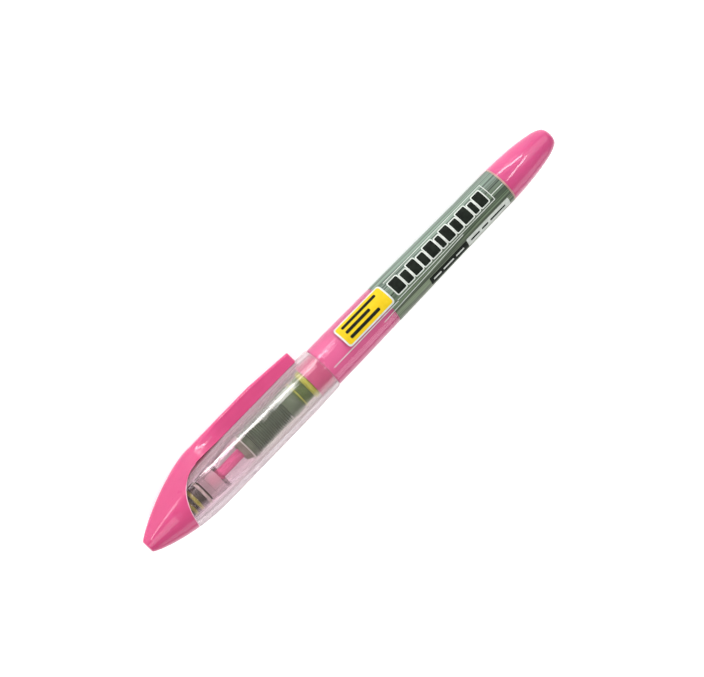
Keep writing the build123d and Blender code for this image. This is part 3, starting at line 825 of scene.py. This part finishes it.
def printed_wrap():
    """Printed part of the film, flush with the barrel."""
    thick = 0.11
    xs = spread(PRINT_FRONT, film_rear, 12)
    outline = [(x, tank_r(x)) for x in xs] + [(x, tank_r(x) - thick) for x in reversed(xs)]
    return lathe("printed_wrap", outline, label_print_painted_light, "pen", ["label_film"], 0.02)


def collar_ring():
    """Lime ring between the collector and its collar."""
    low, high = -9.62, -9.28
    outline = [(low, 3.3), (low, 3.57), (high, 3.57), (high, 3.3)]
    return lathe("collar_ring", outline, lime, "pen", [], 0.05)


def guide_ring():
    """Pale ring between the wick's guide and the collector."""
    low, high = -27.05, -26.78
    outline = [(low, 3.2), (low, 3.72), (high, 3.72), (high, 3.2)]
    return lathe("guide_ring", outline, print_pale, "pen", [], 0.05)


# ---------------------------------------------------------------- the cap
def sleeve_shell():
    """Clear sleeve: its front end follows the nose's scooped edge."""
    rows, mouth_rows = 48, 5
    lip = 0.3
    mesh = bmesh.new()
    columns = []
    for i in range(SEGMENTS):
        turn = 2 * pi * i / SEGMENTS
        front = window_x(sleeve_outer_r, turn)
        outer = [(x, sleeve_outer_r(x)) for x in spread(front, sleeve_mouth - lip, rows)]
        mouth = []
        for k in range(1, mouth_rows + 1):
            bend = pi / 2 * k / mouth_rows
            mouth.append((sleeve_mouth - lip + lip * sin(bend), MOUTH_R - lip + lip * cos(bend)))
        mouth.append((sleeve_mouth, SLEEVE_BORE_R + 0.1))
        front = window_x(sleeve_inner_r, turn)
        inner = [(x, sleeve_inner_r(x)) for x in spread(sleeve_mouth - 0.1, front, rows)]
        column = outer + mouth + inner
        columns.append([mesh.verts.new((x, r * sin(turn), r * cos(turn))) for x, r in column])
    for near, far in zip(columns, columns[1:] + columns[:1]):
        for i in range(len(near)):
            mesh.faces.new((near[i - 1], near[i], far[i], far[i - 1]))
    return finish_piece("sleeve_shell", mesh, clear_cap, "cap", ["cap_sleeve"])


def window_rim_highlight():
    """Painted highlight: a pale line along the sleeve's scooped edge where it meets the nose, for the light
    that edge catches.
    """
    highlight_r, sink = 0.1, 0.06
    mesh = bmesh.new()
    path = []
    for i in range(SEGMENTS):
        turn = 2 * pi * i / SEGMENTS
        x = window_x(sleeve_outer_r, turn)
        r = sleeve_outer_r(x) - sink
        path.append(Vector((x, r * sin(turn), r * cos(turn))))
    rings = []
    for i, here in enumerate(path):
        run = (path[(i + 1) % SEGMENTS] - path[i - 1]).normalized()
        out = Vector((0, here.y, here.z)).normalized()
        out = (out - run * out.dot(run)).normalized()
        side = run.cross(out)
        rings.append([here + (out * cos(a) + side * sin(a)) * highlight_r for a in spread(0, 2 * pi, 8)[:-1]])
    loft(mesh, rings + rings[:1], close_ends=False)
    bmesh.ops.remove_doubles(mesh, verts=mesh.verts, dist=1e-5)
    return finish_piece("window_rim_highlight", mesh, rim_highlight_pink, "cap")


def pear_half_width(x, z):
    """Half the nose's width at height z: a circle below, a narrow ridge above, a flat between."""
    low_r, top_z = nose_under_r(x), ridge_z(x)
    share = (low_r - NOSE_TIP_R) / (sleeve_r - NOSE_TIP_R)
    ridge_r = NOSE_RIDGE_R + (CLIP_HALF_WIDTH - NOSE_RIDGE_R) * share
    centre = top_z - ridge_r
    slope = asin((low_r - ridge_r) / centre)
    flat_low, flat_high = low_r * sin(slope), centre + ridge_r * sin(slope)
    if z < flat_low:
        return sqrt(max(0.0, low_r**2 - z**2))
    if z > flat_high:
        return sqrt(max(0.0, ridge_r**2 - (z - centre) ** 2))
    share = (z - flat_low) / (flat_high - flat_low)
    return low_r * cos(slope) * (1 - share) + ridge_r * cos(slope) * share


def clip_arm():
    """Clip, grown out of the nose's ridge in one sweep, cored underneath."""
    corner, end_round = 0.75, 0.35
    fair_length = 12.0
    wall_under_z, wall_slope = 5.78, 0.26
    tail = clip_end - 0.25
    core_front, core_rear, core_depth, core_half = -34.7, -9.6, 2.1, 1.5
    bump_centre, bump_half, bump_height = tail - 2.75, 2.0, 0.18
    slope_length, slope_drop = 12.5, 0.95
    front = nose_root - 9.0
    rise_steps = 16

    def half_width(x, z, top_z, blend):
        arm = CLIP_HALF_WIDTH
        if z > top_z - corner:
            arm = CLIP_HALF_WIDTH - corner + sqrt(max(0.0, corner**2 - (z - top_z + corner) ** 2))
        if blend >= 1:
            return arm
        over = min(z, ridge_z(x))
        return pear_half_width(min(x, nose_root), over) * (1 - blend) + arm * blend

    def ring(x, shrink, proud):
        """Section of the arm at x, drawn in by shrink and standing proud of the nose."""
        blend = smoothstep((x - nose_root) / fair_length)
        top_z = ridge_z(x) if x < nose_root else CLIP_TOP_Z
        top_z -= slope_drop * max(0.0, x - (tail - slope_length)) / slope_length
        low_z = 6.0 * (1 - blend) + wall_under_z * blend
        off = (x - bump_centre) / bump_half
        bump = bump_height * max(0.0, 1 - off * off)
        cored = core_front <= x <= core_rear
        depth = CLIP_UNDER_Z - low_z + (core_depth if cored else -bump)
        depth *= 1 if x > core_front - 0.5 else 0
        side = []
        for k in range(rise_steps + 1):
            z = low_z + (top_z - low_z) * sin(pi / 2 * k / rise_steps)
            y = half_width(x, z, top_z, blend)
            rise = proud - shrink if k == rise_steps else 0
            side.append((max(0.0, y - shrink + proud), z + rise))
        side[0] = (side[0][0], side[0][1] + shrink)
        top_y, top = side[-1]
        core_low, core_high = low_z + wall_slope * blend + shrink, low_z + depth + shrink
        right = [(core_half, core_high), (core_half, core_low)] + side
        crown = [(top_y * t, top) for t in (0.66, 0.33)]
        half = right + crown
        loop = half + [(-y, z) for y, z in reversed(half)]
        return [(x, y, z) for y, z in loop]

    lift, dive, ease, edge = 0.03, 0.2, 3.0, 0.02
    stations = []
    for x in spread(front, nose_root, 24):
        stations.append((x, 0.0, lift - dive * smoothstep((nose_root - 2 * ease - x) / ease)))
    for x in spread(nose_root + 0.2, core_front - edge, 10):
        stations.append((x, 0.0, lift * (1 - smoothstep((x - nose_root) / ease))))
    cored_xs = [core_front] + spread(core_front + 0.8, core_rear - 0.8, 30) + [core_rear]
    plain_xs = spread(core_rear + edge, tail - end_round, 16)
    stations += [(x, 0.0, 0.0) for x in cored_xs + plain_xs]
    for k in range(1, 6):
        bend = pi / 2 * k / 5
        stations.append((tail - end_round + end_round * sin(bend), end_round * (1 - cos(bend)), 0.0))
    mesh = bmesh.new()
    loft(mesh, [ring(*station) for station in stations])
    arm = finish_piece("clip_arm", mesh, pink, None)
    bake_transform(arm)
    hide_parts("cap_clip")
    return arm


# ---------------------------------------------------------------- label artwork
def art_patch(name, start, stop, low, high, material, lift, count=None):
    """A printed patch on the barrel between low(x) and high(x), measured round it in millimetres
    from the middle of the front towards the clip."""
    thick = 0.012
    count = count or max(2, int((stop - start) / 0.4))
    xs = spread(start, stop, count)
    across = max(2, int((max(high(x) - low(x) for x in xs)) / 0.25))
    mesh = bmesh.new()

    def point(x, s, height):
        r = tank_r(x) + height
        turn = s / tank_r(x)
        return mesh.verts.new((x, -r * cos(turn), r * sin(turn)))

    grids = []
    for height in (lift, lift - thick):
        grids.append([[point(x, s, height) for s in spread(low(x), high(x), across)] for x in xs])
    for grid in grids:
        for near, far in zip(grid, grid[1:]):
            for i in range(across):
                mesh.faces.new((near[i], near[i + 1], far[i + 1], far[i]))

    def rim(grid):
        """The grid's border, once round."""
        far_side = [row[-1] for row in grid[:-1]]
        near_side = [row[0] for row in grid[:0:-1]]
        return grid[0][:-1] + far_side + grid[-1][:0:-1] + near_side

    rim_top, rim_low = rim(grids[0]), rim(grids[1])
    for i in range(len(rim_top)):
        mesh.faces.new((rim_top[i - 1], rim_top[i], rim_low[i], rim_low[i - 1]))
    return finish_piece(name, mesh, material, "pen")


def block(name, start, stop, low, high, material, lift, corner=0.25):
    """A patch with rounded corners."""

    def inset(x):
        edge = min(x - start, stop - x)
        return 0.0 if edge >= corner else corner - sqrt(max(0.0, corner**2 - (corner - edge) ** 2))

    count = max(12, int((stop - start) / 0.12))
    return art_patch(
        name, start, stop, lambda x: low + inset(x), lambda x: high - inset(x), material, lift, count
    )


def hairline(name, start, stop, s_start, s_stop, width):
    """A thin pale printed line along the barrel."""
    lift = 0.016

    def middle(x):
        return s_start + (s_stop - s_start) * (x - start) / (stop - start)

    return art_patch(
        name, start, stop, lambda x: middle(x) - width / 2, lambda x: middle(x) + width / 2, print_pale, lift
    )


def label_art():
    """Plain artwork: a yellow panel with ruled bars, a row of dark blocks, hairlines and a strip."""
    first, second, third = 0.02, 0.034, 0.048
    panel_start, panel_stop, panel_low, panel_high = 7.7, 22.6, -1.05, 4.6
    border, rule_half = 0.42, 0.42
    block(
        "panel_border", panel_start - border, panel_stop + border, panel_low - border, panel_high + border,
        print_pale, first, 0.9,
    )
    block("panel_yellow", panel_start, panel_stop, panel_low, panel_high, print_yellow, second, 0.6)
    for i, length in enumerate((11.6, 8.2, 10.0)):
        middle = panel_high - 1.2 - i * 1.6
        start = panel_start + 1.4
        low, high = middle - rule_half, middle + rule_half
        block(f"panel_rule_{i + 1}", start, start + length, low, high, print_dark, third, 0.3)
    widths = (2.9, 2.1, 2.5, 2.1, 2.9, 1.5, 2.5, 2.1, 2.9, 1.5, 2.5)
    foot, tops, gap, halo = -0.75, (3.1, 2.5), 0.63, 0.3
    x = 24.7
    for i, width in enumerate(widths):
        top = tops[i % 2]
        start, stop = x - halo, x + width + halo
        block(f"block_halo_{i + 1}", start, stop, foot - halo, top + halo, print_pale, first, 0.5)
        block(f"block_{i + 1}", x, x + width, foot, top, print_dark, second, 0.28)
        x += width + gap
    row_end = x - gap
    frame_end = row_end + 1.3
    hairline("hairline_low", 1.2, 23.6, -1.95, -1.85, 0.22)
    hairline("hairline_mid", 23.6, 49.7, -1.6, -1.45, 0.18)
    hairline("hairline_under", 17.6, 46.2, -3.15, -1.95, 0.18)
    hairline("hairline_top", 24.2, frame_end, 4.15, 4.0, 0.2)
    hairline("hairline_tail", frame_end, film_rear - 0.2, -0.1, -0.1, 0.2)
    hairline("corner_low", 49.7, frame_end, -1.45, -1.45, 0.18)
    block("corner_upright", frame_end - 0.1, frame_end + 0.1, -1.5, 4.05, print_pale, 0.018, 0.05)
    block("strip_dark", 32.8, 45.8, -6.6, -3.75, print_dark, first, 0.2)
    block("strip_pale", 45.9, 60.5, -6.4, -3.6, print_pale, first, 0.2)
    for i, (start, length) in enumerate(((33.8, 2.6), (37.2, 3.6), (41.6, 2.8))):
        block(f"strip_dash_{i + 1}", start, start + length, -5.3, -4.75, print_pale, second, 0.1)
    for i, (start, length) in enumerate(((47.0, 3.0), (50.8, 2.2), (53.8, 5.2))):
        block(f"strip_dash_{i + 4}", start, start + length, -5.2, -4.6, print_dark, second, 0.1)


# ---------------------------------------------------------------- assembly
CARRIED_OVER = {
    "cap_nose": pink,
    "inner_cap": frosted,
    "nib": felt,
    "wick": wick_fibre,
    "wick_guide": guide_grey,
    "collector": feed_grey,
    "feed_collar": collar_green,
    "tank_seal": lime,
    "nib_holder": olive,
    "seal_bands": lime,
}


def dress_frame():
    """Gives the frame's own nodes that stay in view their finishes."""
    for name, material in CARRIED_OVER.items():
        data = frame["nodes"][name].data
        data.materials.clear()
        data.materials.append(material)


dress_frame()
tank_shell()
tank_rim()
ink_column()
section_shell()
end_plug()
printed_wrap()
collar_ring()
guide_ring()
inner_cap_lip()
sleeve_shell()
window_rim_highlight()
clip_arm()
label_art()


# ---------------------------------------------------------------- stage, light and camera
def studio_floor():
    """Pale paper under the pen, at the CAD box's foot."""
    size = 4.0
    data = bpy.data.meshes.new("studio_floor")
    corners = [(sx * size, sy * size, cad_box[0].z) for sx, sy in ((-1, -1), (1, -1), (1, 1), (-1, 1))]
    data.from_pydata(corners, [], [(0, 1, 2, 3)])
    data.materials.append(floor_finish())
    plane = bpy.data.objects.new("studio_floor", data)
    bpy.context.collection.objects.link(plane)


def soft_light(name, place, target, width, height, glow, turn=0.0):
    """An area light at place, turned to target, its width level along the pen unless turned.
    glow is its radiance; the lamp's power follows from its area."""
    data = bpy.data.lights.new(name, "AREA")
    data.shape = "RECTANGLE"
    data.size, data.size_y = width, height
    data.energy = glow * pi * width * height
    lamp = bpy.data.objects.new(name, data)
    back = (Vector(place) - Vector(target)).normalized()
    side = (ALONG - back * ALONG.dot(back)).normalized()
    up = back.cross(side)
    face_on = Matrix((side, up, back)).transposed().to_4x4() @ Matrix.Rotation(turn, 4, "Z")
    lamp.matrix_world = Matrix.Translation(place) @ face_on
    bpy.context.collection.objects.link(lamp)


def beside(x, elevation, reach=0.5):
    """A place at x beside the pen on its clip side, reach metres away, raised by degrees."""
    return (x, reach * cos(radians(elevation)), reach * sin(radians(elevation)))


def sky(strength):
    """Even white light from all round."""
    world = bpy.data.worlds.new("studio")
    world.use_nodes = True
    world.node_tree.nodes["Background"].inputs["Color"].default_value = (1, 1, 1, 1)
    world.node_tree.nodes["Background"].inputs["Strength"].default_value = strength
    bpy.context.scene.world = world


VIEW_TILT = radians(8.6)
VIEW_ROLL = radians(45.87)
VIEW_DISTANCE = 0.9
LENS = 191.8
AIM_X, AIM_Z = 9.2, 0.25
AIM_RIGHT, AIM_UP = 0.8, 0.32


def camera():
    """Looks at the pen's near side, with the clip to the upper left, a little from the nose."""
    out = -TO_FAR_SIDE * cos(VIEW_TILT) - ALONG * sin(VIEW_TILT)
    along = (ALONG - out * ALONG.dot(out)).normalized()
    above = out.cross(along)
    right = along * cos(VIEW_ROLL) - above * sin(VIEW_ROLL)
    up = along * sin(VIEW_ROLL) + above * cos(VIEW_ROLL)
    aim = on_pen(AIM_X, 0, AIM_Z) + (right * AIM_RIGHT + up * AIM_UP) * MM
    data = bpy.data.cameras.new("view")
    data.lens = LENS
    data.sensor_width = 36
    data.sensor_fit = "HORIZONTAL"
    eye = bpy.data.objects.new("view", data)
    facing = Matrix((right, up, out)).transposed().to_4x4()
    eye.matrix_world = Matrix.Translation(aim + out * VIEW_DISTANCE) @ facing
    bpy.context.collection.objects.link(eye)
    bpy.context.scene.camera = eye


studio_floor()
HERE = (0, 0, 0)
sky(0.36)
soft_light("nose_end_box", (-0.85, 0.4, 0.8), HERE, 0.9, 0.9, 3.0)
soft_light("plug_end_box", (0.85, 0.45, 0.7), HERE, 0.9, 0.9, 1.9)
soft_light("near_side_fill", (0, -0.9, 0.5), HERE, 1.3, 0.6, 1.7)
soft_light("far_side_strip", beside(0, 4, 0.6), HERE, 0.6, 0.05, 5.0)
soft_light("cap_strip", beside(0.027, 11.5), (-0.025, 0, 0), 0.155, 0.03, 19.0, radians(-69))
soft_light("cap_window", beside(0.057, 20), (-0.015, 0, 0), 0.022, 0.3, 6.0)
soft_light("nose_strip", beside(-0.3, 7), (-0.05, 0, 0), 0.3, 0.08, 9.0)
soft_light("plug_strip_low", beside(0.235, 18), (0.067, 0, 0), 0.28, 0.035, 20.0, radians(-68))
soft_light("plug_strip_high", beside(0.255, 62), (0.067, 0, 0), 0.22, 0.035, 20.0, radians(62))
camera()
bpy.context.scene.view_settings.view_transform = "Standard"
